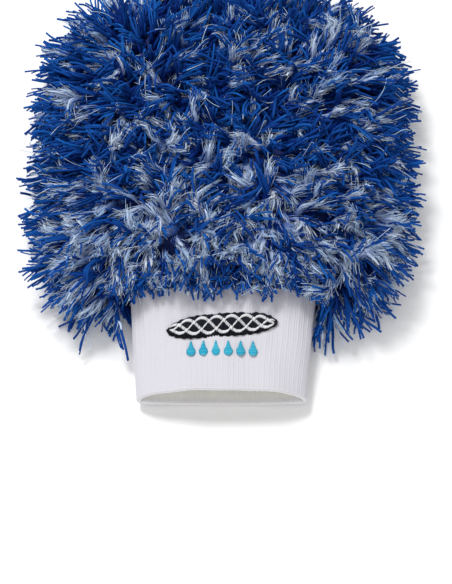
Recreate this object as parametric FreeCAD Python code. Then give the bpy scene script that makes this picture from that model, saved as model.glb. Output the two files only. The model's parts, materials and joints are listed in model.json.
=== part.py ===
"""Long-pile wash mitt lying on its palm side, cuff towards -Y and fingertips towards +Y.

Two pile panels are sewn face to face round their edge and turned right side out. Each is a knitted ground
cloth that carries a deep pile. A two-panel lining fills the hand pocket. A rib-knit cuff, one tube folded
double at the mouth, is overlocked into the open end, and a small emblem is embroidered on its upper face.

Millimetres, +Z up. The origin is the middle of the mitt's footprint, on the surface that it lies on.
"""

import FreeCAD, Part
import os
from math import cos, pi, radians, sin

Vector = FreeCAD.Vector

# Overall size, from pile tip to pile tip
LENGTH = 262.0
WIDTH = 214.0
HEIGHT = 54.0

# Plan outline of the pile: two half superellipses, the cuff end squarer than the fingertips
PLAN_CENTRE_Y = 12.0
BODY_FRONT_Y = -99.0
CUFF_END_POWER = 6.0
FINGER_END_POWER = 3.6
PLAN_POINTS = 40

# Notch in the back panel's pile, which leaves the cuff's upper face and the emblem bare
NOTCH_END_Y = -84.0
NOTCH_HALF_WIDTH = 52.0
NOTCH_FLOOR_Z = 15.0

# Layers of the body, counted inwards from the pile's outline
SEAM_Z = 19.0
GROUND_INSET = 24.0
GROUND_TOP_Z = 34.0
GROUND_BOTTOM_Z = 8.0
GROUND_THICKNESS = 1.8
LINING_GAP_SIDE = 4.2
LINING_GAP_FLAT = 0.5
LINING_THICKNESS = 1.0

# How far a layer's outline draws in from its widest level to its flat top or bottom
PILE_TOP_DRAW = 64.0
PILE_BOTTOM_DRAW = 20.0
CLOTH_TOP_DRAW = 46.0
CLOTH_BOTTOM_DRAW = 20.0
DOME_POWER = 2.3
DOME_BANDS = 7

# Rib-knit cuff
CUFF_MOUTH_Y = -LENGTH / 2
CUFF_SEWN_Y = -65.0
CUFF_MOUTH_HALF_WIDTH = 43.5
CUFF_SEWN_HALF_WIDTH = 49.5
CUFF_MOUTH_Z = (0.0, 4.8, 20.0)  # its lowest, widest and highest levels
CUFF_SEWN_Z = (7.4, 15.0, 27.0)
CUFF_UPPER_POWER = 2.3
CUFF_LOWER_POWER = 3.2
CUFF_POINTS = 28
PLY_THICKNESS = 1.2
PLY_GAP = 0.4
FOLD_DEPTH = 2.2
HEM_ROUNDING = 0.9
HEM_ROUNDING_LENGTH = 1.4

# Seams
PERIMETER_SEAM_WIDTH = 2.4
PERIMETER_SEAM_HEIGHT = 1.8
PERIMETER_SEAM_GAP = 0.6
COLLAR_THICKNESS = 1.4
COLLAR_START_Y = -75.0
JOIN_SEAM_LENGTH = 3.0
JOIN_SEAM_PROUD = 0.6
SEAM_CLEARANCE = 0.3
SIDE_SEAM_WIDTH = 1.1
SIDE_SEAM_PROUD = 0.35
SIDE_SEAM_DROP = 3.2
STITCH_LENGTH = 2.6
STITCH_PITCH = 3.4

# Embroidered emblem: a dark field with a braid of light waves on it, over a row of drops
EMBLEM_FLOOR_Z = 12.0
EMBLEM_END_MARGIN = 8.0
THREAD_HEIGHT = 0.8
LINE_HEIGHT = 0.5
FIELD_Y = -96.0
FIELD_LENGTH = 57.0
FIELD_RISE = 4.0
FIELD_MARGIN = 1.7
FIELD_SCALLOP = 0.3
WAVES = 3
WAVE_CYCLES = 2.5
WAVE_START = 0.8
WAVE_SWING = 4.4
SWING_POWER = 4
WAVE_BREADTH = 1.5
WAVE_STEPS = 36
BAND_END_POWER = 12
DROPS = 6
DROP_Y = -110.4
DROP_PITCH = 6.3
DROP_RADIUS = 2.3
DROP_TALL = 8.2
DROP_SHOULDER = radians(50)
STABILISER_MARGIN = 3.0
STABILISER_THICKNESS = 0.2

FAR = 400.0  # past everything, for cutting
OVERLAP = 1.0  # how far a cutter runs past the face that it opens
PILE_TOP_Y = LENGTH / 2
CUFF_WALL = 2 * PLY_THICKNESS + PLY_GAP


def closed_curve(points):
    """A smooth closed wire through points."""
    curve = Part.BSplineCurve()
    curve.interpolate(Points=points, PeriodicFlag=True)
    return Part.Wire(curve.toShape())


def open_curve(points):
    """A smooth edge through points."""
    curve = Part.BSplineCurve()
    curve.interpolate(Points=points)
    return curve.toShape()


def radius_at(angle, across, along, power):
    """The polar radius of a superellipse with those half axes."""
    share = abs(cos(angle) / across) ** power + abs(sin(angle) / along) ** power
    return share ** (-1.0 / power)


def signed_power(value, power):
    """value raised to power, keeping its sign."""
    return abs(value) ** power * (1 if value >= 0 else -1)


def plan_wire(inset, z):
    """The body's outline in plan, drawn in by inset, at height z."""
    across = WIDTH / 2 - inset
    points = []
    for k in range(PLAN_POINTS):
        angle = 2 * pi * k / PLAN_POINTS
        finger_side = sin(angle) >= 0
        along = (PILE_TOP_Y - PLAN_CENTRE_Y if finger_side else PLAN_CENTRE_Y - BODY_FRONT_Y) - inset
        power = FINGER_END_POWER if finger_side else CUFF_END_POWER
        r = radius_at(angle, across, along, power)
        points.append(Vector(r * cos(angle), PLAN_CENTRE_Y + r * sin(angle), z))
    return closed_curve(points)


def pillow(inset, bottom_z, top_z, bottom_draw, top_draw):
    """A domed closed body whose outline draws in towards a flat top and a flat bottom."""
    wires = []
    for k in range(-DOME_BANDS, DOME_BANDS + 1):
        turn = pi / 2 * k / DOME_BANDS
        level = signed_power(sin(turn), 2 / DOME_POWER)
        draw = bottom_draw if k < 0 else top_draw
        reach = SEAM_Z - bottom_z if k < 0 else top_z - SEAM_Z
        share = 0.0 if k == 0 else 1 - abs(cos(turn)) ** (2 / DOME_POWER)
        wires.append(plan_wire(inset + draw * share, SEAM_Z + level * reach))
    return Part.makeLoft(wires, True, True)


def cuff_wire(y, grow):
    """The cuff's section at y, grown outwards by grow."""
    share = (y - CUFF_MOUTH_Y) / (CUFF_SEWN_Y - CUFF_MOUTH_Y)
    across = CUFF_MOUTH_HALF_WIDTH + share * (CUFF_SEWN_HALF_WIDTH - CUFF_MOUTH_HALF_WIDTH) + grow
    low, middle, high = [a + share * (b - a) for a, b in zip(CUFF_MOUTH_Z, CUFF_SEWN_Z)]
    points = []
    for k in range(CUFF_POINTS):
        turn = 2 * pi * k / CUFF_POINTS
        upper = sin(turn) >= 0
        tall = (high - middle if upper else middle - low) + grow
        power = CUFF_UPPER_POWER if upper else CUFF_LOWER_POWER
        rise = tall * signed_power(sin(turn), 2 / power)
        points.append(Vector(across * signed_power(cos(turn), 2 / CUFF_UPPER_POWER), y, middle + rise))
    return closed_curve(points)


def cuff_solid(stations):
    """A solid along the cuff through (y, grow) stations."""
    return Part.makeLoft([cuff_wire(y, grow) for y, grow in stations], True, True)


def half_space(upper):
    """Everything above or below the seam's level."""
    low = SEAM_Z if upper else SEAM_Z - FAR
    return Part.makeBox(2 * FAR, 2 * FAR, FAR, Vector(-FAR, -FAR, low))


def prism(wire, height):
    """A wire drawn on the ground plane, raised to height."""
    return Part.Face(wire).extrude(Vector(0, 0, height))


def field_middle(x):
    """The middle line of the emblem's field at x, rising to the right."""
    return FIELD_Y + FIELD_RISE * x / FIELD_LENGTH


def wave_swing(x):
    """How far the waves swing from the middle line at x, dying away towards the field's ends."""
    return WAVE_SWING * (1 - abs(2 * x / FIELD_LENGTH) ** SWING_POWER)


def wave_turn(x):
    """The angle of the waves at x."""
    return 2 * pi * WAVE_CYCLES * x / FIELD_LENGTH + WAVE_START


def band(middle_at, half_at, length):
    """A tall block along x with rounded ends, from its middle line and its half breadth."""
    upper, lower = [], []
    for k in range(1, WAVE_STEPS):
        share = 2 * k / WAVE_STEPS - 1
        x = share * length / 2
        half = half_at(x) * (1 - share**BAND_END_POWER) ** 0.5
        upper.append(Vector(x, middle_at(x) + half, 0))
        lower.append(Vector(x, middle_at(x) - half, 0))
    left = Vector(-length / 2, middle_at(-length / 2), 0)
    right = Vector(length / 2, middle_at(length / 2), 0)
    outline = Part.Wire([open_curve([left] + upper + [right]), open_curve([right] + lower[::-1] + [left])])
    return prism(outline, FAR)


def field_block():
    """The emblem's field, a margin wider than the braid and softly scalloped."""
    def half_at(x):
        scallop = FIELD_SCALLOP * (1 - cos(2 * WAVES * wave_turn(x)))
        return wave_swing(x) + WAVE_BREADTH / 2 + FIELD_MARGIN - scallop

    return band(field_middle, half_at, FIELD_LENGTH)


def wave_block(lag):
    """One wave of the braid, lag being its angle behind the first wave."""
    def middle_at(x):
        return field_middle(x) + wave_swing(x) * cos(wave_turn(x) + lag)

    return band(middle_at, lambda x: WAVE_BREADTH / 2, FIELD_LENGTH - 2 * FIELD_MARGIN)


def drop_wire(x):
    """One water drop, round at the cuff's mouth side and pointed away from it."""
    centre = Vector(x, DROP_Y, 0)
    tip = centre + Vector(0, DROP_TALL - DROP_RADIUS, 0)
    across = DROP_RADIUS * cos(DROP_SHOULDER)
    rise = DROP_RADIUS * sin(DROP_SHOULDER)
    right = centre + Vector(across, rise, 0)
    left = centre + Vector(-across, rise, 0)
    belly = Part.Arc(right, centre + Vector(0, -DROP_RADIUS, 0), left).toShape()
    return Part.Wire([belly, Part.LineSegment(left, tip).toShape(), Part.LineSegment(tip, right).toShape()])


def upper_shell(inner, outer):
    """The layer from inner to outer above the cuff's upper face, as long as the emblem needs."""
    span = (CUFF_MOUTH_Y + EMBLEM_END_MARGIN, CUFF_SEWN_Y - EMBLEM_END_MARGIN)
    layer = cuff_solid([(y, outer) for y in span]).cut(cuff_solid([(y, inner) for y in span]))
    return layer.common(Part.makeBox(2 * FAR, 2 * FAR, FAR, Vector(-FAR, -FAR, EMBLEM_FLOOR_Z)))


def make_cuff():
    """One knitted tube, folded double at the mouth, open between its plies at the sewn end."""
    rim = CUFF_MOUTH_Y + HEM_ROUNDING_LENGTH
    beyond = CUFF_SEWN_Y + OVERLAP
    before = CUFF_MOUTH_Y - OVERLAP
    fold = CUFF_MOUTH_Y + FOLD_DEPTH
    body = cuff_solid([(CUFF_MOUTH_Y, -HEM_ROUNDING), (rim, 0.0), (CUFF_SEWN_Y, 0.0)])
    pocket = cuff_solid([(before, HEM_ROUNDING - CUFF_WALL), (rim, -CUFF_WALL), (beyond, -CUFF_WALL)])
    outer_ply = -PLY_THICKNESS
    inner_ply = -PLY_THICKNESS - PLY_GAP
    gap = cuff_solid([(fold, outer_ply), (beyond, outer_ply)])
    gap = gap.cut(cuff_solid([(fold - OVERLAP, inner_ply), (beyond + OVERLAP, inner_ply)]))
    return body.cut(pocket).cut(gap)


def make_join_seam():
    """The overlock that holds the cuff's plies, the panels' turned edge and the lining together."""
    front, back = CUFF_SEWN_Y, CUFF_SEWN_Y + JOIN_SEAM_LENGTH
    outer = COLLAR_THICKNESS + JOIN_SEAM_PROUD
    inner = -CUFF_WALL - JOIN_SEAM_PROUD
    ring = cuff_solid([(front, outer), (back, outer)])
    return ring.cut(cuff_solid([(front - OVERLAP, inner), (back + OVERLAP, inner)]))


def make_side_seam():
    """The row of stitches that closes the cuff's tube along its right-hand edge."""
    stitches = []
    front = CUFF_MOUTH_Y + FOLD_DEPTH
    while front + STITCH_LENGTH + OVERLAP < COLLAR_START_Y:
        back = front + STITCH_LENGTH
        share = (front - CUFF_MOUTH_Y) / (CUFF_SEWN_Y - CUFF_MOUTH_Y)
        z = CUFF_MOUTH_Z[1] + share * (CUFF_SEWN_Z[1] - CUFF_MOUTH_Z[1]) - SIDE_SEAM_DROP
        strip = Part.makeBox(FAR, STITCH_LENGTH, SIDE_SEAM_WIDTH, Vector(0, front, z))
        skin = cuff_solid([(front - OVERLAP, SIDE_SEAM_PROUD), (back + OVERLAP, SIDE_SEAM_PROUD)])
        core = cuff_solid([(front - 2 * OVERLAP, 0.0), (back + 2 * OVERLAP, 0.0)])
        stitches.append(skin.common(strip).cut(core))
        front += STITCH_PITCH
    return Part.makeCompound(stitches)


def make_emblem():
    """The embroidery's dark field, light braid and coloured drops, and the stabiliser behind them."""
    thread = upper_shell(0.0, THREAD_HEIGHT)
    raised = upper_shell(THREAD_HEIGHT, THREAD_HEIGHT + LINE_HEIGHT)
    braid = wave_block(0.0)
    for k in range(1, WAVES):
        braid = braid.fuse(wave_block(2 * pi * k / WAVES))
    drops = []
    for k in range(DROPS):
        x = (k - (DROPS - 1) / 2) * DROP_PITCH
        drops.append(thread.common(prism(drop_wire(x), FAR)))
    behind = -PLY_THICKNESS - PLY_GAP / 2
    under = upper_shell(behind - STABILISER_THICKNESS / 2, behind + STABILISER_THICKNESS / 2)
    reach_x = FIELD_LENGTH / 2 + STABILISER_MARGIN
    back = FIELD_Y + FIELD_RISE / 2 + WAVE_SWING + WAVE_BREADTH / 2 + STABILISER_MARGIN
    front = DROP_Y - DROP_RADIUS - STABILISER_MARGIN
    window = Part.makeBox(2 * reach_x, back - front, FAR, Vector(-reach_x, front, 0))
    return {
        "emblem_field": thread.common(field_block()),
        "emblem_braid": raised.common(braid),
        "emblem_drops": Part.makeCompound(drops),
        "emblem_stabiliser": under.common(window),
    }


def make_body():
    """The two panels' ground cloth and pile, the lining and the seam round the edge."""
    lining_inset = GROUND_INSET + GROUND_THICKNESS + LINING_GAP_SIDE
    skin = GROUND_THICKNESS + LINING_GAP_FLAT
    pile = pillow(0.0, 0.0, HEIGHT, PILE_BOTTOM_DRAW, PILE_TOP_DRAW)
    ground = pillow(GROUND_INSET, GROUND_BOTTOM_Z, GROUND_TOP_Z, CLOTH_BOTTOM_DRAW, CLOTH_TOP_DRAW)
    ground_inside = pillow(GROUND_INSET + GROUND_THICKNESS, GROUND_BOTTOM_Z + GROUND_THICKNESS,
                           GROUND_TOP_Z - GROUND_THICKNESS, CLOTH_BOTTOM_DRAW, CLOTH_TOP_DRAW)
    lining = pillow(lining_inset, GROUND_BOTTOM_Z + skin, GROUND_TOP_Z - skin,
                    CLOTH_BOTTOM_DRAW, CLOTH_TOP_DRAW)
    pocket = pillow(lining_inset + LINING_THICKNESS, GROUND_BOTTOM_Z + skin + LINING_THICKNESS,
                    GROUND_TOP_Z - skin - LINING_THICKNESS, CLOTH_BOTTOM_DRAW, CLOTH_TOP_DRAW)

    before = CUFF_MOUTH_Y - OVERLAP
    inner_end = CUFF_SEWN_Y + JOIN_SEAM_LENGTH + SEAM_CLEARANCE
    passage = cuff_solid([(y, COLLAR_THICKNESS + SEAM_CLEARANCE) for y in (before, inner_end)])
    seam_reach = COLLAR_THICKNESS + JOIN_SEAM_PROUD + SEAM_CLEARANCE
    seam_room = cuff_solid([(y, seam_reach) for y in (CUFF_SEWN_Y, inner_end)])
    collar = cuff_solid([(y, COLLAR_THICKNESS) for y in (COLLAR_START_Y, CUFF_SEWN_Y)])
    cuff = cuff_solid([(y, 0.0) for y in (before, inner_end)])
    corner = Vector(-NOTCH_HALF_WIDTH, before, NOTCH_FLOOR_Z)
    notch = Part.makeBox(2 * NOTCH_HALF_WIDTH, NOTCH_END_Y - before, FAR, corner)

    pile = pile.cut(ground).cut(passage).cut(seam_room).cut(notch)
    cloth = ground.cut(ground_inside).cut(seam_room).fuse(collar).cut(cuff)
    lining = lining.cut(pocket).cut(passage).cut(seam_room)

    seam_inset = GROUND_INSET + GROUND_THICKNESS + PERIMETER_SEAM_GAP
    low_z = SEAM_Z - PERIMETER_SEAM_HEIGHT / 2
    outer = prism(plan_wire(seam_inset, low_z), PERIMETER_SEAM_HEIGHT)
    inner = prism(plan_wire(seam_inset + PERIMETER_SEAM_WIDTH, low_z), PERIMETER_SEAM_HEIGHT)
    seam = outer.cut(inner).cut(passage).cut(seam_room)

    made = {"perimeter_overlock_seam": seam}
    for side, upper in (("back", True), ("palm", False)):
        half = half_space(upper)
        made[side + "_panel_pile"] = pile.common(half)
        made[side + "_panel_ground_cloth"] = cloth.common(half)
        made[side + "_lining"] = lining.common(half)
    return made


def main():
    os.makedirs("parts", exist_ok=True)
    made = make_body()
    made["rib_knit_cuff"] = make_cuff()
    made["cuff_join_overlock_seam"] = make_join_seam()
    made["cuff_side_seam_stitches"] = make_side_seam()
    made.update(make_emblem())
    for name, shape in made.items():
        shape = Part.makeCompound(shape.Solids)
        print(f"{name:26s} solids {len(shape.Solids)} valid {shape.isValid()} volume {shape.Volume:.1f}")
        shape.exportStep(f"parts/{name}.step")


main()
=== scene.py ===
"""The looks of the long-pile wash mitt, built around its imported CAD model.

Lengths are millimetres until a mesh is made. The pile is real strands, grown in tufts from the panels'
ground cloth. The cuff is a folded ply of rib knit, laid over the CAD cuff's outline. The emblem is
satin-stitched over the CAD emblem's shapes.
"""

import json
from math import cos, pi, radians, sin, tau

import bpy
import numpy as np
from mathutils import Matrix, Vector, noise
from mathutils.bvhtree import BVHTree
from mathutils.kdtree import KDTree


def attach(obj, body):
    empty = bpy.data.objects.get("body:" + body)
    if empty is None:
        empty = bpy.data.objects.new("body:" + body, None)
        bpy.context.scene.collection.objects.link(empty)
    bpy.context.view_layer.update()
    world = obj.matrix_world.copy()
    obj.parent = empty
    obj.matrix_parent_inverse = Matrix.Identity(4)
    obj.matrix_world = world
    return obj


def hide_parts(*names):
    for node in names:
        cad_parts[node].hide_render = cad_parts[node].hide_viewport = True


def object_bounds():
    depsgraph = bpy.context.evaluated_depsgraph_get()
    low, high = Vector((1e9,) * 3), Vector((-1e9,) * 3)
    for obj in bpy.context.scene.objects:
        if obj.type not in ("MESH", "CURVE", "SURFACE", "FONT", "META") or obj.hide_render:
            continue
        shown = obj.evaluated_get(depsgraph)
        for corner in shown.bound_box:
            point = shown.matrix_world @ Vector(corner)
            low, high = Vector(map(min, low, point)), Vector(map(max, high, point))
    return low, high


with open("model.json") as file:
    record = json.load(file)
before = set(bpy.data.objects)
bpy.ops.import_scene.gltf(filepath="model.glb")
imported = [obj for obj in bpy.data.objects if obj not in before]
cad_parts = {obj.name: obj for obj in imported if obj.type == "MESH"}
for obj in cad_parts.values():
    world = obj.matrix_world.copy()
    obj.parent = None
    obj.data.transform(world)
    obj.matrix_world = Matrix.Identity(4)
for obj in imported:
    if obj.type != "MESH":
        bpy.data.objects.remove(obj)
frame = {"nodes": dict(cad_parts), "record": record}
cad_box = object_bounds()

MM = 0.001
BODY = "root"
BAKE_UV = "OFBake"

UP = np.array([0.0, 0.0, 1.0])
FAR = 200.0  # beyond every piece, where rays start

# Each strand takes one column of the UV square, from its root at the first end to its tip at the second
UV_COLUMNS = 64
UV_MARGIN = 0.1
UV_ENDS = (0.02, 0.98)

# Sockets of a colour Mix node
MIX_FACTOR, MIX_A, MIX_B, MIX_RESULT = 0, 6, 7, 2

# Strands' surface: fine fibres, and the pale haze on them, partly their own pale fibres and partly painted
# sheen
FIBRE_GRAIN = (900.0, 9.0, 1.0)
HAZE_AND_SHEEN_COLOUR = (0.45, 0.7, 1.0)
HAZE_AND_SHEEN_SHARE = 0.25
# How fast the painted shade at a strand's root gives way along it, and that shade's default colour
ROOT_SLOPE = 1.35
BLACK = (0.0, 0.0, 0.0)

# Pile: tufts of strands on the ground cloth
PILE_SEED = 21
PIECES_PER_PANEL = 4
TUFT_SPACING = 3.3
TRIES_PER_TUFT = 6
PILE_LENGTH = (22.0, 29.0)
PILE_REST_HEIGHT = 0.7
PILE_SOFT_TOP = cad_box[1][2] / MM - 4.0
PILE_TOP_PRESS = 0.6
ROOT_LIFT = 0.2

# A ground cloth's outer face looks away from a flat core of this share of its size, by this distance
GROUND_CORE = np.array([0.7, 0.7, 0.0])
GROUND_OUTWARD = 1.0

# The neck of the panels, where the cuff leaves no room for roots
NECK_Y = -70.5
NECK_HEIGHTS = (6.0, 27.0)
NECK_DEPTH = 14.0
NECK_EDGE = 1.0

# The cuff's room, kept as a grid of its upper and lower faces
GUARD_CELLS = (41, 25)
GUARD_MARGIN = 3.0
CUFF_CLEARANCE = 1.0

# The pile's outline is a superellipse, squarer at the cuff's end
CUFF_END_POWER = 5.0
FINGER_END_POWER = 3.4

# Tufts lean out near the outline, stand up and swirl elsewhere, and sink by their weight. A swirl is
# (size in millimetres, strength, seed), and a fade is how much of a share goes towards the outline.
GUIDE_STEPS = 12
SWIRLS = ((34.0, 1.5, 1), (13.0, 1.6, 2))
SWIRL_RISE = 0.2
SWIRL_SHARE, SWIRL_FADE = 1.5, 0.9
FINE_LEAN = np.array([1.0, 1.0, 0.4])
FINE_SHARE, FINE_FADE = 0.5, 0.22
MIDDLE_LEAN, RIM_LEAN, RIM_LEAN_POWER = 0.15, 1.2, 3.5
STAND, STAND_FADE = 0.72, 0.1
STRAY_TUFTS = 0.25
STRAY_LEAN = 0.9
STRAY_POWER = 6
WEIGHT = (0.04, 0.13)
CURL = (0.0, 0.15)
LEAN_PULL = 0.04

# Longer tufts at the finger end and beside the cuff
RIM_POWER = 4
FINGER_END_GROWTH = 0.14
FINGER_END_RAMP = 60.0
CUFF_END_GROWTH = 0.3
CUFF_END_START, CUFF_END_RAMP = -35.0, 30.0
BESIDE_CUFF = 14.0

# A cowlick on the back, and a short fringe over the cuff
COWLICK = (-24.0, -49.0)
COWLICK_REACH = 20.0
COWLICK_CALM, COWLICK_LEAN = 0.5, 0.75
FRINGE_ROOTS_Y = -50.0
FRINGE_MARGIN = 4.0
FRINGE_CALM = np.array([0.7, 0.5, 0.4])
FRINGE_LEAN = np.array([0.0, -0.35, 0.1])
FRINGE_OVERHANG = (2.0, 11.0)
FRINGE_SHORTEST = 13.0
FRONT_EDGE_Y = -76.0

# Fluffy tufts have more white yarns: a patchy measure that grows towards the cuff and round the cowlick
PATCH_SIZE, PATCH_SEED, PATCH_CHANCE = 11.0, 3, 0.22
PATCH_BASE = -0.11
TOWARD_CUFF_START, TOWARD_CUFF_RAMP, TOWARD_CUFF_SHARE = 10.0, 60.0, 0.46
COWLICK_FLUFF = 1.6
FEWER_BLUES_ABOVE = 0.3
WHITES_ABOVE = 0.16
LONE_WHITES = 0.15
THREADED_TUFTS = 0.3
SHADE_SPREAD = 12

# Strands part from their guide faster towards the tip, and are widest at this share of their length
PARTING_POWER = 1.4
PROFILE_MIDDLE = 0.35

# Cuff: one knitted ply, folded double
PLY = 1.0
PLY_GAP = 0.4
RIB_PITCH = 2.73
RIB_DEPTH = 0.32
POINTS_PER_RIB = 8
CUFF_UV_MARGIN = 0.01

# Knit loops over the UV square, and the rows and points of the cuff's mesh. Above the floor, its unevenness
# starts at the first height and is full after the second.
KNIT_COLUMNS, KNIT_ROWS = 146.0, 130.0
CUFF_ENDS = (1.6, 0.3)
CUFF_STATIONS = 24
CUFF_STATION_REACH = 3.0
RAYS_PER_RING, POINTS_PER_RING = 720, 1440
OUTER_ROWS, INNER_ROWS, BEND_ROWS = 46, 34, 7
FLOOR_ROOM = (1.0, 3.0)

# The knit's unevenness as waves round the cuff: puckers (size in millimetres, waves, phase), of which the
# first comes and goes with a beat (waves, phase), and ripples (size, waves, slant along the cuff, phase)
PUCKERS = ((0.55, 15, 1.3), (0.4, 23, 2.1))
PUCKER_BEAT = (4, 0.4)
PUCKER_GROWTH, PUCKER_POWER = 2.2, 3
RIPPLES = ((0.35, 5, 0.06, 0.0), (0.25, 9, -0.11, 1.0))
RIPPLE_FADE = 0.4
WALE_SHARE, WALE_POWER = 0.35, 0.8

# Emblem: satin threads
SATIN_STEPS = 9
SATIN_SIDES = 6
SATIN_FLAT = 0.8
SATIN_TWIST = 0.01
SATIN_SCAN = 0.15
SATIN_SINK = 0.1
SATIN_ARCH = 0.35
SATIN_END_SPREAD, SATIN_LANE_SPREAD = 0.05, 0.02

# Camera and light
CAMERA_ELEVATION = 60.0
CAMERA_DISTANCE = 1000.0
CAMERA_LENS = 116.5
CAMERA_SENSOR = 36.0
CAMERA_AIM = (2.0, -63.0, 0.0)
FLOOR_HALF = 6000.0
FLOOR_GLOW = 0.05
WORLD_STRENGTH = 0.58
WHITE = (1.0, 1.0, 1.0, 1.0)


# ---------------------------------------------------------------- geometry helpers

def unit(v):
    """Vectors scaled to length 1 along the last axis."""
    return v / np.maximum(np.linalg.norm(v, axis=-1, keepdims=True), 1e-9)


def node_arrays(name):
    """A CAD node's corners in millimetres and its triangles."""
    mesh = frame["nodes"][name].data
    mesh.calc_loop_triangles()
    points = np.empty(len(mesh.vertices) * 3, np.float32)
    mesh.vertices.foreach_get("co", points)
    corners = np.empty(len(mesh.loop_triangles) * 3, np.int32)
    mesh.loop_triangles.foreach_get("vertices", corners)
    return points.reshape(-1, 3) / MM, corners.reshape(-1, 3)


def node_tree(name):
    """A CAD node's surface, ready for ray casts in millimetres."""
    points, triangles = node_arrays(name)
    return BVHTree.FromPolygons(points.tolist(), triangles.tolist())


def mesh_piece(name, points, faces, nodes, material, smooth=True, uv=None):
    """A mesh object in metres, from points in millimetres, riding on the body in place of those CAD nodes.

    faces is a list of (count, corners-per-face) index arrays, and uv is one (u, v) per corner.
    """
    mesh = bpy.data.meshes.new(name)
    sizes = np.concatenate([np.full(len(f), f.shape[1], np.int32) for f in faces])
    corners = np.concatenate([f.ravel() for f in faces]).astype(np.int32)
    starts = np.concatenate([[0], np.cumsum(sizes)[:-1]]).astype(np.int32)
    mesh.vertices.add(len(points))
    mesh.vertices.foreach_set("co", (points * MM).astype(np.float32).ravel())
    mesh.loops.add(len(corners))
    mesh.loops.foreach_set("vertex_index", corners)
    mesh.polygons.add(len(sizes))
    mesh.polygons.foreach_set("loop_start", starts)
    mesh.polygons.foreach_set("use_smooth", np.full(len(sizes), smooth))
    if uv is not None:
        layer = mesh.uv_layers.new(name=BAKE_UV)
        layer.uv.foreach_set("vector", uv.astype(np.float32).ravel())
    mesh.update(calc_edges=True)
    mesh.validate()
    piece = bpy.data.objects.new(name, mesh)
    bpy.context.scene.collection.objects.link(piece)
    mesh.materials.append(material)
    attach(piece, BODY)
    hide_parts(*nodes)
    return piece


def tube_mesh(paths, wide, thick, profile, sides, turn, columns):
    """Closed tubes along paths (n, k, 3): points, faces, and corner UVs (u by column, v along)."""
    count, steps, _ = paths.shape
    tangent = unit(np.gradient(paths, axis=1))
    mean = unit(paths[:, -1] - paths[:, 0])
    across = unit(np.cross(mean, turn))
    side = unit(np.cross(tangent, across[:, None]))
    up = np.cross(side, tangent)
    angles = np.arange(sides) / sides * tau
    ring = (
        np.cos(angles)[None, None, :, None] * side[:, :, None] * wide[:, None, None, None]
        + np.sin(angles)[None, None, :, None] * up[:, :, None] * thick[:, None, None, None]
    )
    points = (paths[:, :, None] + ring * profile[None, :, None, None]).reshape(-1, 3)

    first = (np.arange(count) * steps * sides)[:, None, None]
    k = (np.arange(steps - 1) * sides)[None, :, None]
    s = np.arange(sides)[None, None, :]
    after = (s + 1) % sides
    here, ahead = first + k, first + k + sides
    quads = np.stack([here + s, here + after, ahead + after, ahead + s], -1)
    root = first[:, 0] + np.arange(sides)[::-1][None]
    tip = first[:, 0] + (steps - 1) * sides + np.arange(sides)[None]

    low_v, high_v = UV_ENDS
    column_left = (columns[:, None, None] + UV_MARGIN) / UV_COLUMNS
    share = (1 - 2 * UV_MARGIN) / UV_COLUMNS / sides
    dv = (high_v - low_v) / (steps - 1)
    u0 = np.broadcast_to(column_left + share * s, (count, steps - 1, sides))
    v0 = np.broadcast_to(low_v + dv * k / sides, (count, steps - 1, sides))
    quad_uv = np.stack([u0, v0, u0 + share, v0, u0 + share, v0 + dv, u0, v0 + dv], -1).reshape(-1, 2)
    ring_u = np.broadcast_to(column_left[:, 0] + share * np.arange(sides)[None], (count, sides))
    root_uv = np.stack([ring_u, np.full_like(ring_u, low_v)], -1).reshape(-1, 2)
    tip_uv = np.stack([ring_u, np.full_like(ring_u, high_v)], -1).reshape(-1, 2)
    return points, [quads.reshape(-1, 4), root, tip], np.concatenate([quad_uv, root_uv, tip_uv])


# ---------------------------------------------------------------- material helpers

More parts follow.
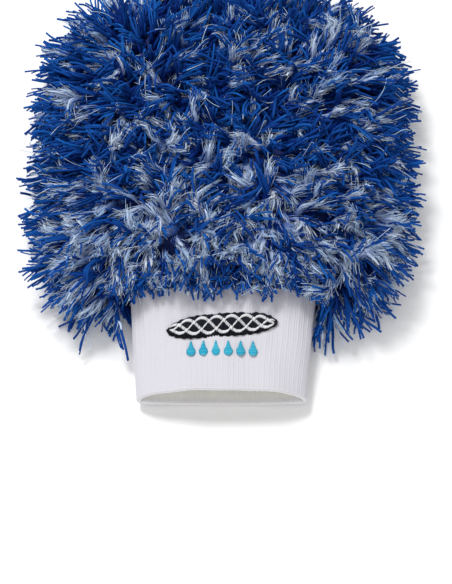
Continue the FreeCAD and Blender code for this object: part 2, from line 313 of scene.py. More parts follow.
class Nodes:
    """A material's node tree, with short ways to add and join nodes."""

    def __init__(self, name):
        self.material = bpy.data.materials.new(name)
        self.material.use_nodes = True
        self.tree = self.material.node_tree
        self.tree.nodes.clear()
        self.shader = self.add("ShaderNodeBsdfPrincipled")
        output = self.add("ShaderNodeOutputMaterial")
        self.join(self.shader.outputs["BSDF"], output.inputs["Surface"])

    def add(self, kind, **settings):
        node = self.tree.nodes.new(kind)
        for key, value in settings.items():
            setattr(node, key, value)
        return node

    def join(self, source, target):
        self.tree.links.new(source, target)

    def value(self, socket, number):
        self.shader.inputs[socket].default_value = number

    def maths(self, operation, *values, clamp=False):
        node = self.add("ShaderNodeMath", operation=operation, use_clamp=clamp)
        for slot, value in enumerate(values):
            if isinstance(value, (int, float)):
                node.inputs[slot].default_value = value
            else:
                self.join(value, node.inputs[slot])
        return node.outputs[0]

    def ramp(self, factor, stops):
        node = self.add("ShaderNodeValToRGB")
        elements = node.color_ramp.elements
        while len(elements) < len(stops):
            elements.new(0.5)
        for element, (position, colour) in zip(elements, stops):
            element.position = position
            element.color = (*colour, 1.0)
        self.join(factor, node.inputs["Fac"])
        return node.outputs["Color"]

    def mix(self, factor, a, b):
        node = self.add("ShaderNodeMix", data_type="RGBA")
        for slot, value in ((MIX_FACTOR, factor), (MIX_A, a), (MIX_B, b)):
            if isinstance(value, (int, float)):
                node.inputs[slot].default_value = value
            elif isinstance(value, tuple):
                node.inputs[slot].default_value = (*value, 1.0)
            else:
                self.join(value, node.inputs[slot])
        return node.outputs[MIX_RESULT]

    def noise(self, vector, scale, detail=2.0, roughness=0.5):
        node = self.add("ShaderNodeTexNoise")
        node.inputs["Scale"].default_value = scale
        node.inputs["Detail"].default_value = detail
        node.inputs["Roughness"].default_value = roughness
        self.join(vector, node.inputs["Vector"])
        return node.outputs["Fac"]

    def uv(self):
        return self.add("ShaderNodeUVMap", uv_map=BAKE_UV).outputs["UV"]

    def split(self, vector):
        node = self.add("ShaderNodeSeparateXYZ")
        self.join(vector, node.inputs[0])
        return node.outputs

    def scaled(self, vector, scale):
        node = self.add("ShaderNodeMapping")
        node.inputs["Scale"].default_value = scale
        self.join(vector, node.inputs["Vector"])
        return node.outputs[0]

    def bump(self, height, strength, distance):
        node = self.add("ShaderNodeBump")
        node.inputs["Strength"].default_value = strength
        node.inputs["Distance"].default_value = distance
        self.join(height, node.inputs["Height"])
        self.join(node.outputs["Normal"], self.shader.inputs["Normal"])


def linear(*channels):
    """A linear colour from red, green and blue as 0-255 display values, by the sRGB curve."""
    return tuple(c / 255 / 12.92 if c <= 10 else ((c / 255 + 0.055) / 1.055) ** 2.4 for c in channels)


def strand_material(name, shades, root_shade, fuzz_and_sheen, roughness=0.85, root=BLACK, slope=ROOT_SLOPE):
    """Yarn or fibre: a shade for each column of strands, which turns to the root colour towards the root.

    root_shade is how far it turns, slope how fast it turns back along the strand, and fuzz how much pale
    haze lies on it. The root colour is painted shade deep in the pile, and on white strands also painted
    blue light from the blue strands around them. The haze is partly the strands' own pale fibres, partly
    painted sheen.
    """
    nodes = Nodes(name)
    uv = nodes.uv()
    across, along, _ = nodes.split(uv)
    stops = [(k / (len(shades) - 1), shade) for k, shade in enumerate(shades)]
    colour = nodes.ramp(across, stops)
    # Towards the root the column's shade turns to the root colour: painted shade deep in the pile
    rise = nodes.maths("MULTIPLY", along, slope, clamp=True)
    colour = nodes.mix(rise, nodes.mix(root_shade, colour, root), colour)
    # Pale haze along the fibre grain, away from the root: partly the strands' own pale fibres, partly
    # painted sheen
    fibres = nodes.noise(nodes.scaled(uv, FIBRE_GRAIN), scale=1.0, detail=3.0, roughness=0.6)
    haze = nodes.maths("MULTIPLY", nodes.maths("MULTIPLY", fibres, fuzz_and_sheen), rise)
    colour = nodes.mix(haze, colour, nodes.mix(HAZE_AND_SHEEN_SHARE, colour, HAZE_AND_SHEEN_COLOUR))
    nodes.join(colour, nodes.shader.inputs["Base Color"])
    nodes.value("Roughness", roughness)
    nodes.value("Specular IOR Level", 0.03)
    nodes.bump(fibres, strength=0.5, distance=0.0002)
    return nodes.material


def cloth_material(name, colour, dark, scale, bump_mm):
    """A plain knitted cloth, from object coordinates, with painted shade in the hollows between its loops
    and faint darker blotches.
    """
    nodes = Nodes(name)
    place = nodes.add("ShaderNodeTexCoord").outputs["Object"]
    x, y, _ = nodes.split(nodes.scaled(place, (scale, scale, scale)))
    rows = nodes.maths("SINE", nodes.maths("MULTIPLY", x, tau))
    loops = nodes.maths("SINE", nodes.maths("MULTIPLY", y, tau))
    height = nodes.maths("MULTIPLY", rows, loops)
    height = nodes.maths("MULTIPLY_ADD", height, 0.5, 0.5, clamp=True)
    blotch = nodes.noise(place, scale=60.0, detail=3.0)
    # Darker in the knit's hollows and lighter on its loops: painted shade. Then faint blotches of the
    # darker colour.
    shade = nodes.mix(nodes.maths("MULTIPLY", height, 0.5), dark, colour)
    shade = nodes.mix(nodes.maths("MULTIPLY", blotch, 0.35), shade, dark)
    nodes.join(shade, nodes.shader.inputs["Base Color"])
    nodes.value("Roughness", 0.9)
    nodes.value("Sheen Weight", 0.05)
    nodes.bump(height, strength=0.5, distance=bump_mm * MM)
    return nodes.material


# ---------------------------------------------------------------- pile

def outer_triangles(name):
    """Corner points of a ground cloth's outward-facing triangles, with their normals and areas."""
    points, triangles = node_arrays(name)
    corners = points[triangles]
    low, high = corners.reshape(-1, 3).min(0), corners.reshape(-1, 3).max(0)
    middle = (low + high) / 2
    cross = np.cross(corners[:, 1] - corners[:, 0], corners[:, 2] - corners[:, 0])
    normal = unit(cross)
    centre = corners.mean(1)
    core = middle + (centre - middle) * GROUND_CORE
    outward = ((centre - core) * normal).sum(1) > GROUND_OUTWARD
    return corners[outward], normal[outward], np.linalg.norm(cross[outward], axis=1) / 2


def scatter(corners, normals, areas, spacing, rng):
    """Points on the triangles at least spacing apart, with their normals."""
    tries = int(areas.sum() / spacing**2 * TRIES_PER_TUFT)
    picks = rng.choice(len(areas), tries, p=areas / areas.sum())
    a, b = rng.random(tries), rng.random(tries)
    flip = a + b > 1
    a[flip], b[flip] = 1 - a[flip], 1 - b[flip]
    tri = corners[picks]
    points = tri[:, 0] + a[:, None] * (tri[:, 1] - tri[:, 0]) + b[:, None] * (tri[:, 2] - tri[:, 0])
    tree = KDTree(tries)
    for k, point in enumerate(points):
        tree.insert(point, k)
    tree.balance()
    alive = np.ones(tries, bool)
    kept = []
    for k in range(tries):
        if alive[k]:
            kept.append(k)
            for _, other, _ in tree.find_range(points[k], spacing):
                alive[other] = False
    return points[kept], normals[picks[kept]]


def smooth_noise(points, size, seed):
    """A smooth random vector at each point, with features of that size."""
    noise.seed_set(seed)
    return np.array([noise.noise_vector(Vector(p) / size) for p in points])


class CuffGuard:
    """Keeps strands above or below the cuff, by a grid of the CAD cuff's upper and lower faces."""

    def __init__(self):
        points, _ = node_arrays("rib_knit_cuff")
        self.half = points[:, 0].max() + GUARD_MARGIN
        self.front, self.back = points[:, 1].min(), points[:, 1].max()
        tree = node_tree("rib_knit_cuff")
        self.covered = np.zeros(GUARD_CELLS, bool)
        self.top, self.bottom = np.zeros(GUARD_CELLS), np.zeros(GUARD_CELLS)
        for i, x in enumerate(np.linspace(-self.half, self.half, GUARD_CELLS[0])):
            for j, y in enumerate(np.linspace(self.front, self.back, GUARD_CELLS[1])):
                down = tree.ray_cast((x, y, FAR), (0, 0, -1))[0]
                up = tree.ray_cast((x, y, -FAR), (0, 0, 1))[0]
                if down is not None:
                    self.covered[i, j] = True
                    self.top[i, j], self.bottom[i, j] = down.z, up.z
        for step in (1, -1):
            bare = ~self.covered & np.roll(self.covered, step, axis=0)
            self.top[bare] = np.roll(self.top, step, axis=0)[bare]
            self.bottom[bare] = np.roll(self.bottom, step, axis=0)[bare]
            self.covered |= bare

    def cells(self, p):
        """The grid cell that each point is over, as index arrays."""
        columns, rows = GUARD_CELLS[0] - 1, GUARD_CELLS[1] - 1
        i = ((p[:, 0] + self.half) / (2 * self.half) * columns).round().astype(int)
        j = ((p[:, 1] - self.front) / (self.back - self.front) * rows).round().astype(int)
        return np.clip(i, 0, columns), np.clip(j, 0, rows)

    def push(self, p, above):
        """Moves points clear of the cuff: strands of the back panel over it, the others under it."""
        i, j = self.cells(p)
        inside = (np.abs(p[:, 0]) < self.half) & (p[:, 1] < self.back) & self.covered[i, j]
        if above:
            p[inside, 2] = np.maximum(p[inside, 2], self.top[i, j][inside] + CUFF_CLEARANCE)
        else:
            ceiling = np.maximum(self.bottom[i, j][inside] - CUFF_CLEARANCE, PILE_REST_HEIGHT)
            p[inside, 2] = np.minimum(p[inside, 2], ceiling)
        return p


def outline_place(roots):
    """How near each root is to the outline, from 0 in the middle to 1 on it, and the way straight out."""
    low, high = roots.min(0), roots.max(0)
    half = (high - low)[:2] / 2
    place = (roots - (low + high) / 2)[:, :2] / half
    power = np.where(place[:, 1:] < 0, CUFF_END_POWER, FINGER_END_POWER)
    near = (np.abs(place) ** power).sum(1) ** (1 / power[:, 0])
    out = np.sign(place) * np.abs(place) ** (power - 1) / half
    return np.clip(near, 0, 1)[:, None], unit(np.pad(out, ((0, 0), (0, 1))))


def grow_guides(roots, normals, length, above, rng, guard):
    """One guide curve per tuft (n, steps + 1, 3), leaning out over the edge and sinking by its weight."""
    near, out = outline_place(roots)
    swirl = sum(smooth_noise(roots, size, seed) * strength for size, strength, seed in SWIRLS)
    swirl[:, 2] *= SWIRL_RISE
    fine = rng.normal(size=roots.shape) * FINE_LEAN
    stray = (rng.random((len(roots), 1)) < STRAY_TUFTS) * (1 - near**STRAY_POWER)
    lean = (
        out * (MIDDLE_LEAN + RIM_LEAN * near**RIM_LEAN_POWER)
        + swirl * (SWIRL_SHARE - SWIRL_FADE * near)
        + fine * (FINE_SHARE - FINE_FADE * near)
    )
    rim = near[:, 0] ** RIM_POWER
    length = length * (1 + FINGER_END_GROWTH * rim * np.clip(roots[:, 1] / FINGER_END_RAMP, 0, 1))
    beside_cuff = np.abs(np.abs(roots[:, 0]) - guard.half) < BESIDE_CUFF
    cuff_end = beside_cuff * np.clip((CUFF_END_START - roots[:, 1]) / CUFF_END_RAMP, 0, 1)
    length = length * (1 + CUFF_END_GROWTH * rim * cuff_end)
    if above:
        away = (roots - np.array([*COWLICK, 0.0])) * (1 - UP)
        share = np.exp(-(away**2).sum(1, keepdims=True) / COWLICK_REACH**2)
        lean = lean * (1 - COWLICK_CALM * share) + unit(away) * COWLICK_LEAN * share
        front = (roots[:, 1] < FRINGE_ROOTS_Y) & (np.abs(roots[:, 0]) < guard.half + FRINGE_MARGIN)
        lean[front] = lean[front] * FRINGE_CALM + FRINGE_LEAN
        fringe = roots[:, 1] - FRONT_EDGE_Y + rng.uniform(*FRINGE_OVERHANG, len(roots))
        length = np.where(front, np.clip(fringe, FRINGE_SHORTEST, length), length)
    lean = lean * (1 - stray) + fine * STRAY_LEAN * stray
    heading = unit(normals * (STAND - STAND_FADE * near) + lean)
    points = [roots + normals * ROOT_LIFT]
    step = (length / GUIDE_STEPS)[:, None]
    weight = rng.uniform(*WEIGHT, (len(roots), 1))
    curl = unit(rng.normal(size=roots.shape)) * rng.uniform(*CURL, (len(roots), 1))
    for _ in range(GUIDE_STEPS):
        heading = unit(heading + curl - weight * UP + lean * LEAN_PULL)
        points.append(settle(points[-1] + heading * step, above, guard))
    return np.stack(points, 1)


def settle(points, above, guard, rest=PILE_REST_HEIGHT):
    """Points moved clear of the cuff, no lower than rest, and pressed down where they stand too high."""
    points = guard.push(points, above)
    points[:, 2] = np.maximum(points[:, 2], rest)
    too_high = np.maximum(points[:, 2] - PILE_SOFT_TOP, 0.0)
    points[:, 2] -= too_high * PILE_TOP_PRESS
    return points


def strands_of(guides, own, spec, rng):
    """Strand paths (n, steps + 1, 3) that each follow their own guide, and part from it towards the tip."""
    count, steps = len(own), spec["steps"]
    last = guides.shape[1] - 1
    t = np.linspace(0, 1, steps + 1)
    at = t[None] * rng.uniform(*spec["reach"], count)[:, None] * last
    base = np.minimum(at.astype(int), last - 1)
    part = (at - base)[:, :, None]
    rows = np.arange(count)[:, None]
    guide = guides[own]
    path = guide[rows, base] * (1 - part) + guide[rows, base + 1] * part
    aim = unit(guide[:, -1] - guide[:, 0])

    def sideways(size):
        v = rng.normal(size=(count, 3))
        v -= (v * aim).sum(1, keepdims=True) * aim
        return unit(v) * (np.sqrt(rng.random((count, 1))) * size)

    start, end = sideways(spec["root"]), sideways(spec["tip"])
    path = path + start[:, None] * (1 - t)[None, :, None] + end[:, None] * (t**PARTING_POWER)[None, :, None]
    phase = rng.random((count, 1)) * tau
    turns = rng.uniform(*spec["turns"], (count, 1))
    sway = np.sin(phase + t[None] * turns * tau) - np.sin(phase)
    return path + sideways(1.0)[:, None] * (sway * t[None] * spec["sway"])[:, :, None]


# Kinds of strand: flat is thickness over width, reach a share of the path it follows, root and tip how far
# it strays from that path there, turns the waves of its sway, and taper its width at root, middle and tip
STRANDS = {
    "blue_yarns": dict(
        steps=9, sides=5, wide=(0.58, 0.9), flat=(0.55, 0.8), reach=(0.66, 1.0), root=2.2, tip=5.0,
        sway=2.0, turns=(0.5, 1.3), taper=(0.8, 1.0, 0.85),
    ),
    "blue_fibres": dict(
        steps=5, sides=3, wide=(0.08, 0.13), flat=(0.7, 1.0), reach=(0.6, 1.0), root=0.7, tip=1.8,
        sway=0.9, turns=(0.6, 1.6), taper=(1.0, 1.0, 0.6),
    ),
    "white_yarns": dict(
        steps=7, sides=6, wide=(0.8, 1.5), flat=(0.4, 0.7), reach=(0.42, 0.78), root=1.8, tip=4.0,
        sway=2.8, turns=(0.7, 1.5), taper=(0.6, 1.0, 0.25),
    ),
    "white_fibres": dict(
        steps=5, sides=3, wide=(0.1, 0.19), flat=(0.7, 1.0), reach=(0.7, 1.2), root=2.2, tip=2.8,
        sway=1.9, turns=(0.6, 1.6), taper=(1.0, 1.0, 0.6),
    ),
    "undercoat": dict(
        steps=4, sides=4, wide=(0.9, 1.4), flat=(0.6, 0.9), reach=(0.3, 0.5), root=2.4, tip=4.0,
        sway=1.5, turns=(0.5, 1.0), taper=(0.9, 1.0, 0.5),
    ),
    "white_threads": dict(
        steps=10, sides=3, wide=(0.14, 0.2), flat=(0.8, 1.0), reach=(0.8, 1.04), root=1.5, tip=7.0,
        sway=2.6, turns=(0.5, 1.3), taper=(1.0, 1.0, 1.0),
    ),
}

# Loose fibres follow the yarns of a kind, this many to each
FIBRES_PER_YARN = {
    "back": (("blue_fibres", "blue_yarns", 1), ("white_fibres", "white_yarns", 18)),
    "palm": (("blue_fibres", "blue_yarns", 1), ("white_fibres", "white_yarns", 9)),
}


def pile_roots(panel, guard, rng):
    """Roots of tufts on one panel's ground cloth, and its normals there, where the cuff leaves it bare."""
    corners, normals, areas = outer_triangles(panel + "_panel_ground_cloth")
    roots, root_normals = scatter(corners, normals, areas, TUFT_SPACING, rng)
    x, y, z = roots.T
    over_cuff = (y < guard.back - NECK_EDGE) & (np.abs(x) < guard.half - NECK_EDGE)
    touching = guard.push(roots.copy(), above=True)[:, 2] - z < NECK_DEPTH
    low, high = NECK_HEIGHTS
    keep = ~(over_cuff & touching & (z < high) & (z > low) & (y < NECK_Y))
    return roots[keep], root_normals[keep]


def tufts_strands(roots, above, rng):
    """For each kind of strand, the tuft that each of its strands belongs to."""
    count = len(roots)
    toward_cuff = np.clip((TOWARD_CUFF_START - roots[:, 1]) / TOWARD_CUFF_RAMP, 0, 1)
    if above:
        beside = ((roots[:, :2] - COWLICK) ** 2).sum(1)
        toward_cuff += COWLICK_FLUFF * np.exp(-beside / COWLICK_REACH**2)
    patch = smooth_noise(roots, PATCH_SIZE, PATCH_SEED)[:, 0]
    fluffy = patch + TOWARD_CUFF_SHARE * toward_cuff + PATCH_BASE + rng.normal(0, PATCH_CHANCE, count)
    few_blues, many_blues = rng.integers(2, 4, count), rng.integers(3, 6, count)
    whites, lone_whites = rng.integers(1, 4, count), rng.random(count) < LONE_WHITES
    numbers = {
        "blue_yarns": np.where(fluffy > FEWER_BLUES_ABOVE, few_blues, many_blues),
        "white_yarns": np.where(fluffy > WHITES_ABOVE, whites, lone_whites),
        "white_threads": (rng.random(count) < THREADED_TUFTS).astype(int),
        "undercoat": 2,
    }
    return {kind: np.repeat(np.arange(count), number) for kind, number in numbers.items()}


def make_pile(materials):
    """Every strand of both panels, as pieces by panel, kind and sector."""
    rng = np.random.default_rng(PILE_SEED)
    guard = CuffGuard()
    for panel, above in (("back", True), ("palm", False)):
        roots, normals = pile_roots(panel, guard, rng)
        count = len(roots)
        guides = grow_guides(roots, normals, rng.uniform(*PILE_LENGTH, count), above, rng, guard)
        own = tufts_strands(roots, above, rng)
        paths = {kind: strands_of(guides, tuft, STRANDS[kind], rng) for kind, tuft in own.items()}
        for fibres, yarns, per_yarn in FIBRES_PER_YARN[panel]:
            follow = np.repeat(np.arange(len(own[yarns])), per_yarn)
            paths[fibres] = strands_of(paths[yarns], follow, STRANDS[fibres], rng)
            own[fibres] = own[yarns][follow]
        shade = rng.integers(0, UV_COLUMNS, count)
        turn = np.arctan2(roots[:, 0], roots[:, 1] - roots[:, 1].mean())
        sector = (turn / tau * PIECES_PER_PANEL).astype(int) % PIECES_PER_PANEL
        for kind, strands in paths.items():
            strands = settled(strands, kind, above, guard)
            shades, piece_of = shade[own[kind]], sector[own[kind]]
            if kind == "white_threads":
                piece_of = np.zeros(len(strands), int)
            make_strands(panel, kind, strands, shades, piece_of, materials[kind], rng)


def settled(strands, kind, above, guard):
    """Strand paths moved clear of the cuff and the floor by their own thickness."""
    widest = STRANDS[kind]["wide"][1]
    return settle(strands.reshape(-1, 3), above, guard, widest).reshape(strands.shape)


def make_strands(panel, kind, strands, shades, piece_of, material, rng):
    """One kind of strand on one panel, as a piece for each number in piece_of."""
    spec = STRANDS[kind]
    wide = rng.uniform(*spec["wide"], len(strands))
    thick = wide * rng.uniform(*spec["flat"], len(strands))
    tilt = rng.normal(size=(len(strands), 3))
    columns = (shades + rng.integers(-SHADE_SPREAD, SHADE_SPREAD + 1, len(strands))) % UV_COLUMNS
    profile = np.interp(np.linspace(0, 1, spec["steps"] + 1), (0, PROFILE_MIDDLE, 1), spec["taper"])
    for k in np.unique(piece_of):
        mine = piece_of == k
        points, faces, uv = tube_mesh(strands[mine], wide[mine], thick[mine], profile, spec["sides"],
                                      tilt[mine], columns[mine])
        name = f"{panel}_{kind}_{k + 1}"
        mesh_piece(name, points, faces, [panel + "_panel_pile"], material, uv=uv)


# ---------------------------------------------------------------- cuff

def cuff_rings(count):
    """The CAD cuff's outline at several stations: their y, and points (stations, count, 2) in x and z."""
    points, _ = node_arrays("rib_knit_cuff")
    tree = node_tree("rib_knit_cuff")
    front, back = points[:, 1].min(), points[:, 1].max()
    ys = np.linspace(front + CUFF_ENDS[0], back - CUFF_ENDS[1], CUFF_STATIONS)
    rings = []
    for y in ys:
        near = points[np.abs(points[:, 1] - y) < CUFF_STATION_REACH]
        centre = Vector((0.0, y, (near[:, 2].min() + near[:, 2].max()) / 2))
        ring = []
        for angle in np.linspace(0, tau, RAYS_PER_RING, endpoint=False):
            out = Vector((cos(angle), 0.0, sin(angle)))
            hit = tree.ray_cast(centre + out * FAR, -out)[0]
            ring.append((hit.x, hit.z))
        ring = np.array(ring + ring[:1])
        along = np.concatenate([[0], np.cumsum(np.linalg.norm(np.diff(ring, axis=0), axis=1))])
        even = np.linspace(0, along[-1], count, endpoint=False)
        rings.append(np.stack([np.interp(even, along, ring[:, k]) for k in (0, 1)], -1))
    return ys, np.array(rings)


def ring_normals(rings):
    """Outward normals in x and z of closed rings (stations, count, 2)."""
    ahead = np.roll(rings, -1, axis=1) - np.roll(rings, 1, axis=1)
    return unit(np.stack([ahead[..., 1], -ahead[..., 0]], -1))


def cuff_stations(ys):
    """Stations down the outside, round the fold and up the inside: (y, depth of the ply's middle)."""
    middle = PLY / 2
    inner = middle + PLY + PLY_GAP
    fold = (inner - middle) / 2
    bends = np.linspace(0, pi, BEND_ROWS)[1:-1]
    stations = [(y, middle) for y in np.linspace(ys[-1], ys[0], OUTER_ROWS)]
    stations += [(ys[0] - fold * sin(b), middle + fold * (1 - cos(b))) for b in bends]
    stations += [(y, inner) for y in np.linspace(ys[0], ys[-1], INNER_ROWS)]
    return stations


def cuff_lift(turn, y, back_share):
    """How far the knit stands out at each turn round the cuff, by puckers near the pile and ripples."""
    broad, fine = (size * np.sin(turn * tau * waves + phase) for size, waves, phase in PUCKERS)
    waves, phase = PUCKER_BEAT
    pucker = broad * np.sin(turn * tau * waves + phase) + fine
    ripple = sum(size * np.sin(turn * tau * n + y * slant + start) for size, n, slant, start in RIPPLES)
    return pucker * back_share**PUCKER_POWER * PUCKER_GROWTH + ripple * (1 - RIPPLE_FADE * back_share)


def make_cuff(material):
    """The folded rib-knit ply, with ribs, a rolled hem and soft puckers."""
    ys, rings = cuff_rings(POINTS_PER_RING)
    girth = np.linalg.norm(np.diff(rings[len(rings) // 2], axis=0), axis=1).sum()
    ribs = int(round(girth / RIB_PITCH))
    count = ribs * POINTS_PER_RIB
    rings = rings[:, np.linspace(0, POINTS_PER_RING, count, endpoint=False).round().astype(int)]
    normals = ring_normals(rings)
    stations = cuff_stations(ys)
    turn = np.arange(count) / count
    grid, ply_normal = [], []
    for y, depth in stations:
        back_share = np.clip((y - ys[0]) / (ys[-1] - ys[0]), 0, 1)
        at = back_share * (len(ys) - 1)
        i = min(int(at), len(ys) - 2)
        ring = rings[i] * (1 - (at - i)) + rings[i + 1] * (at - i)
        normal = unit(normals[i] * (1 - (at - i)) + normals[i + 1] * (at - i))
        floor_room = np.clip((ring[:, 1] - FLOOR_ROOM[0]) / FLOOR_ROOM[1], 0, 1)
        offset = -depth + cuff_lift(turn, y, back_share) * floor_room - RIB_DEPTH
        place = ring + normal * offset[:, None]
        grid.append(np.stack([place[:, 0], np.full(count, y), place[:, 1]], -1))
        ply_normal.append(np.stack([normal[:, 0], np.zeros(count), normal[:, 1]], -1))
    grid = np.array(grid)
    along = unit(np.gradient(grid, axis=0))
    around = unit(np.roll(grid, -1, axis=1) - np.roll(grid, 1, axis=1))
    face = unit(np.cross(around, along))
    if (face[0] * ply_normal[0]).sum() < 0:
        face = -face
    phase = turn * ribs * tau
    wale = WALE_SHARE * np.abs(np.cos(phase / 2)) ** WALE_POWER
    wale = wale + (1 - WALE_SHARE) * np.cos(phase) ** 2
    rib = RIB_DEPTH * wale[None, :, None]
    core = PLY / 2 - RIB_DEPTH / 2
    outside = grid + face * core + face * rib
    inside = grid - face * core - face * (RIB_DEPTH - rib)

    points = np.concatenate([outside.reshape(-1, 3), inside.reshape(-1, 3)])
    faces = ply_faces(len(stations), count)
    lengths = np.concatenate([[0], np.cumsum(np.linalg.norm(np.diff(grid[:, 0], axis=0), axis=1))])
    uv = ply_uv(faces, count, lengths / lengths[-1])
    piece = mesh_piece("rib_knit_cuff_ply", points, [faces], ["rib_knit_cuff"], material, uv=uv)


def ply_faces(rows, count):
    """Quads of a closed ply: its outside, then its inside, then the rims that join them at both ends."""
    row = (np.arange(rows - 1) * count)[:, None]
    s = np.arange(count)[None]
    after = (s + 1) % count
    front = np.stack([row + s, row + count + s, row + count + after, row + after], -1).reshape(-1, 4)
    total = rows * count
    back = front[:, ::-1] + total
    first = np.stack([s[0], after[0], total + after[0], total + s[0]], -1)
    end, end_after = total - count + s[0], total - count + after[0]
    last = np.stack([end_after, end, total + end, total + end_after], -1)
    return np.concatenate([front, back, first, last])


def ply_uv(faces, count, row_v):
    """Corner UVs of the ply's quads: u goes round, with the outside in the left half, and v goes along."""
    total = len(row_v) * count
    u = faces % count
    wrap = (u == 0) & (u.max(1, keepdims=True) == count - 1)
    u = np.where(wrap, count, u) / count
    v = row_v[(faces % total) // count]
    u = CUFF_UV_MARGIN + (0.5 - 2 * CUFF_UV_MARGIN) * u + 0.5 * (faces // total)
    v = CUFF_UV_MARGIN + (1 - 2 * CUFF_UV_MARGIN) * v
    return np.stack([u, v], -1).reshape(-1, 2)


def cuff_material():
    """White rib knit: fine knit loops up each rib, with painted shade in their hollows, faint blotches, and
    a creamier inner half of the ply, partly its own cream colour and partly painted light in the shaded
    mouth.
    """
    nodes = Nodes("rib_knit_white")
    uv = nodes.uv()
    place = nodes.add("ShaderNodeTexCoord").outputs["Object"]
    across, along, _ = nodes.split(uv)
    column = nodes.maths("MULTIPLY", across, KNIT_COLUMNS * tau)
    row = nodes.maths("MULTIPLY", along, KNIT_ROWS * tau)
    slant = nodes.maths("ABSOLUTE", nodes.maths("SINE", column))
    loops = nodes.maths("SINE", nodes.maths("ADD", row, nodes.maths("MULTIPLY", slant, 2.0)))
    height = nodes.maths("MULTIPLY_ADD", loops, 0.5, 0.5)
    blotch = nodes.noise(place, scale=220.0, detail=4.0)
    # The knit loops are darker in their hollows and lighter on their crests: painted shade
    colour = nodes.mix(height, linear(203, 201, 208), linear(214, 212, 219))
    # The inner half of the ply is creamier and lighter: partly its own cream colour, partly painted light
    # in the shaded mouth
    inner_ply = nodes.ramp(along, [(0.49, (0.0, 0.0, 0.0)), (0.53, (1.0, 1.0, 1.0))])
    colour = nodes.mix(inner_ply, colour, linear(244, 243, 236))
    colour = nodes.mix(nodes.maths("MULTIPLY", blotch, 0.3), colour, linear(204, 203, 212))
    nodes.join(colour, nodes.shader.inputs["Base Color"])
    nodes.value("Roughness", 0.88)
    nodes.value("Sheen Weight", 0.3)
    nodes.value("Sheen Roughness", 0.4)
    nodes.bump(height, strength=0.2, distance=0.00015)
    return nodes.material


# ---------------------------------------------------------------- emblem

def satin_spans(name, across_axis, pitch, step):
    """Where satin threads start and stop over a CAD emblem node: (lane, start, stop) for each thread."""
    points, _ = node_arrays(name)
    tree = node_tree(name)
    low, high = points.min(0), points.max(0)
    along_axis = 1 - across_axis
    spans = []
    for lane in np.arange(low[across_axis] + pitch / 2, high[across_axis], pitch):
        inside = []
        for place in np.arange(low[along_axis] - step, high[along_axis] + 2 * step, step):
            spot = [0.0, 0.0, FAR]
            spot[across_axis], spot[along_axis] = lane, place
            if tree.ray_cast(spot, (0, 0, -1))[0] is not None:
                inside.append(place)
            elif inside:
                spans.append((lane, inside[0], inside[-1]))
                inside = []
    return spans


def make_satin(piece_name, node, material, base_tree, across_axis, pitch, radius, height, slant):
    """Satin stitches over one CAD emblem node: each thread arches from edge to edge over base_tree."""
    rng = np.random.default_rng(len(piece_name))
    t = np.linspace(0, 1, SATIN_STEPS)
    paths = []
    for lane, start, stop in satin_spans(node, across_axis, pitch, SATIN_SCAN):
        path = np.zeros((SATIN_STEPS, 3))
        path[:, 1 - across_axis] = start + (stop - start) * t + rng.normal(0, SATIN_END_SPREAD)
        path[:, across_axis] = lane + slant * (t - 0.5) * (stop - start) + rng.normal(0, SATIN_LANE_SPREAD)
        for k, (x, y, _) in enumerate(path):
            hit = base_tree.ray_cast((x, y, FAR), (0, 0, -1))[0]
            base = hit.z if hit is not None else 0.0
            path[k, 2] = base - SATIN_SINK + height * np.sin(pi * t[k]) ** SATIN_ARCH
        paths.append(path)
    count = len(paths)
    radii = np.full(count, radius)
    columns = rng.integers(0, UV_COLUMNS, count)
    turn = np.tile(UP, (count, 1)) + SATIN_TWIST
    profile = np.ones(SATIN_STEPS)
    paths = np.array(paths)
    points, faces, uv = tube_mesh(paths, radii, radii * SATIN_FLAT, profile, SATIN_SIDES, turn, columns)
    mesh_piece(piece_name, points, faces, [node], material, uv=uv)


def make_emblem(materials):
    """The dark field, the light braid on it and the row of drops."""
    cuff = node_tree("rib_knit_cuff")
    field = node_tree("emblem_field")
    make_satin("emblem_field_stitches", "emblem_field", materials["dark"], cuff,
               across_axis=0, pitch=0.36, radius=0.24, height=0.75, slant=0.25)
    make_satin("emblem_braid_stitches", "emblem_braid", materials["light"], field,
               across_axis=0, pitch=0.34, radius=0.22, height=0.55, slant=0.35)
    make_satin("emblem_drop_stitches", "emblem_drops", materials["blue"], cuff,
               across_axis=1, pitch=0.36, radius=0.24, height=0.75, slant=0.0)


# ---------------------------------------------------------------- seams and inner cloths

def dress_cad_nodes():
    """Better materials on the CAD nodes that keep their shape."""
    looks = {
        # The ground cloth's navy is darkened as painted shade in the gaps between tufts
        "ground_cloth": cloth_material(
            "ground_knit", linear(2, 40, 116), linear(1, 26, 86), scale=700.0, bump_mm=0.3
        ),
        "lining": cloth_material(
            "lining_knit", linear(214, 216, 220), linear(150, 154, 162), scale=900.0, bump_mm=0.2
        ),
        "seam_thread": cloth_material(
            "overlock_thread", linear(222, 222, 226), linear(176, 177, 184), scale=420.0, bump_mm=0.5
        ),
        "stabiliser": cloth_material(
            "stabiliser_felt", linear(232, 232, 228), linear(190, 190, 186), scale=1100.0, bump_mm=0.1
        ),
    }
    slots = {part["node"]: part["material_slot"] for part in frame["record"]["subparts"]}
    for name, node in frame["nodes"].items():
        if slots[name] in looks:
            node.data.materials.clear()
            node.data.materials.append(looks[slots[name]])


# ---------------------------------------------------------------- stage

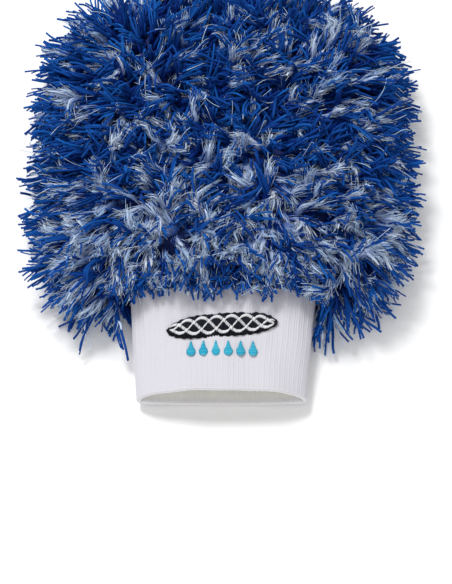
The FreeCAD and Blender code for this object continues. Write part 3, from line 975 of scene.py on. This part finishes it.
def make_floor():
    """A seamless pale floor."""
    corners = np.array([(-1, -1, 0), (1, -1, 0), (1, 1, 0), (-1, 1, 0)]) * FLOOR_HALF * MM
    mesh = bpy.data.meshes.new("floor")
    mesh.from_pydata(corners.tolist(), [], [range(len(corners))])
    floor = bpy.data.objects.new("floor", mesh)
    bpy.context.scene.collection.objects.link(floor)
    nodes = Nodes("floor_paper")
    place = nodes.add("ShaderNodeTexCoord").outputs["Object"]
    grain = nodes.noise(place, scale=900.0, detail=3.0)
    colour = nodes.mix(grain, linear(246, 246, 246), linear(251, 251, 251))
    nodes.join(colour, nodes.shader.inputs["Base Color"])
    nodes.value("Roughness", 0.9)
    nodes.value("Emission Color", WHITE)
    nodes.value("Emission Strength", FLOOR_GLOW)
    mesh.materials.append(nodes.material)


def area_light(name, place, target, size_mm, watts):
    """A round soft light that looks from one place at another."""
    data = bpy.data.lights.new(name, "AREA")
    data.shape = "DISK"
    data.size = size_mm * MM
    data.energy = watts
    lamp = bpy.data.objects.new(name, data)
    bpy.context.scene.collection.objects.link(lamp)
    lamp.location = Vector(place) * MM
    lamp.rotation_euler = (Vector(target) * MM - lamp.location).to_track_quat("-Z", "Y").to_euler()


def make_lights():
    """Soft daylight from the far left, a fill from the camera's side and an even white surround."""
    area_light("key", place=(-450, 600, 1250), target=(0, 0, 0), size_mm=480, watts=15)
    area_light("fill", place=(60, -1150, 420), target=(0, -120, 10), size_mm=900, watts=3.6)
    world = bpy.data.worlds.new("studio")
    world.use_nodes = True
    background = world.node_tree.nodes["Background"]
    background.inputs["Color"].default_value = WHITE
    background.inputs["Strength"].default_value = WORLD_STRENGTH
    bpy.context.scene.world = world
    bpy.context.scene.view_settings.view_transform = "Standard"


def make_camera():
    """A long lens that looks down on the mitt from the cuff's end."""
    data = bpy.data.cameras.new("camera")
    data.lens = CAMERA_LENS
    data.sensor_width = CAMERA_SENSOR
    camera = bpy.data.objects.new("camera", data)
    bpy.context.scene.collection.objects.link(camera)
    tilt = radians(CAMERA_ELEVATION)
    aim = Vector(CAMERA_AIM)
    place = aim + Vector((0.0, -cos(tilt), sin(tilt))) * CAMERA_DISTANCE
    camera.location = place * MM
    camera.rotation_euler = (aim - place).to_track_quat("-Z", "Y").to_euler()
    bpy.context.scene.camera = camera


# ---------------------------------------------------------------- the whole model

def strand_materials():
    """A material for each kind of strand and of embroidery thread."""
    blues = [
        linear(2, 46, 124), linear(5, 71, 153), linear(3, 57, 138), linear(10, 88, 171), linear(1, 40, 113),
    ]
    # The undercoat's darker blues are painted shade in the gaps between tufts
    painted_shade_blues = [linear(1, 30, 102), linear(2, 42, 120)]
    # Whites run from white to pale blue: partly tone that differs from tuft to tuft, partly painted blue
    # light thrown on them by the blue strands
    whites = [
        linear(152, 192, 231), linear(230, 240, 250), linear(180, 210, 241), linear(243, 247, 251),
        linear(140, 182, 226),
    ]
    # Root colours: navy is painted shade deep in the pile under the blue strands; the blue roots of white
    # strands are painted shade and painted blue light from the blue strands around them
    navy_root_shade, yarn_root_shade, fibre_root_shade = linear(0, 17, 84), linear(18, 74, 170), linear(26, 88, 186)
    blacks = [linear(18, 18, 22), linear(34, 34, 40)]
    lights = [linear(226, 226, 230), linear(240, 240, 242)]
    cyans = [linear(44, 166, 202), linear(84, 198, 220)]
    looks = {
        "blue_yarns": dict(name="blue_yarn", shades=blues, root_shade=0.75, fuzz_and_sheen=0.12, root=navy_root_shade),
        "blue_fibres": dict(name="blue_fibre", shades=blues, root_shade=0.3, fuzz_and_sheen=0.1),
        "white_yarns": dict(
            name="white_yarn", shades=whites, root_shade=0.9, fuzz_and_sheen=0.2, root=yarn_root_shade, slope=1.1
        ),
        "white_fibres": dict(
            name="white_fibre", shades=whites, root_shade=0.85, fuzz_and_sheen=0.1, root=fibre_root_shade, slope=1.1
        ),
        "undercoat": dict(name="blue_undercoat", shades=painted_shade_blues, root_shade=0.6, fuzz_and_sheen=0.1, root=navy_root_shade),
        "white_threads": dict(
            name="white_thread", shades=whites, root_shade=0.5, fuzz_and_sheen=0.1, root=fibre_root_shade
        ),
        "dark": dict(name="thread_black", shades=blacks, root_shade=0.0, fuzz_and_sheen=0.12, roughness=0.45),
        "light": dict(name="thread_white", shades=lights, root_shade=0.0, fuzz_and_sheen=0.12, roughness=0.45),
        "blue": dict(name="thread_cyan", shades=cyans, root_shade=0.0, fuzz_and_sheen=0.12, roughness=0.45),
    }
    return {kind: strand_material(**look) for kind, look in looks.items()}


def main():
    materials = strand_materials()
    make_floor()
    make_lights()
    make_camera()
    dress_cad_nodes()
    make_cuff(cuff_material())
    make_emblem(materials)
    make_pile(materials)


main()
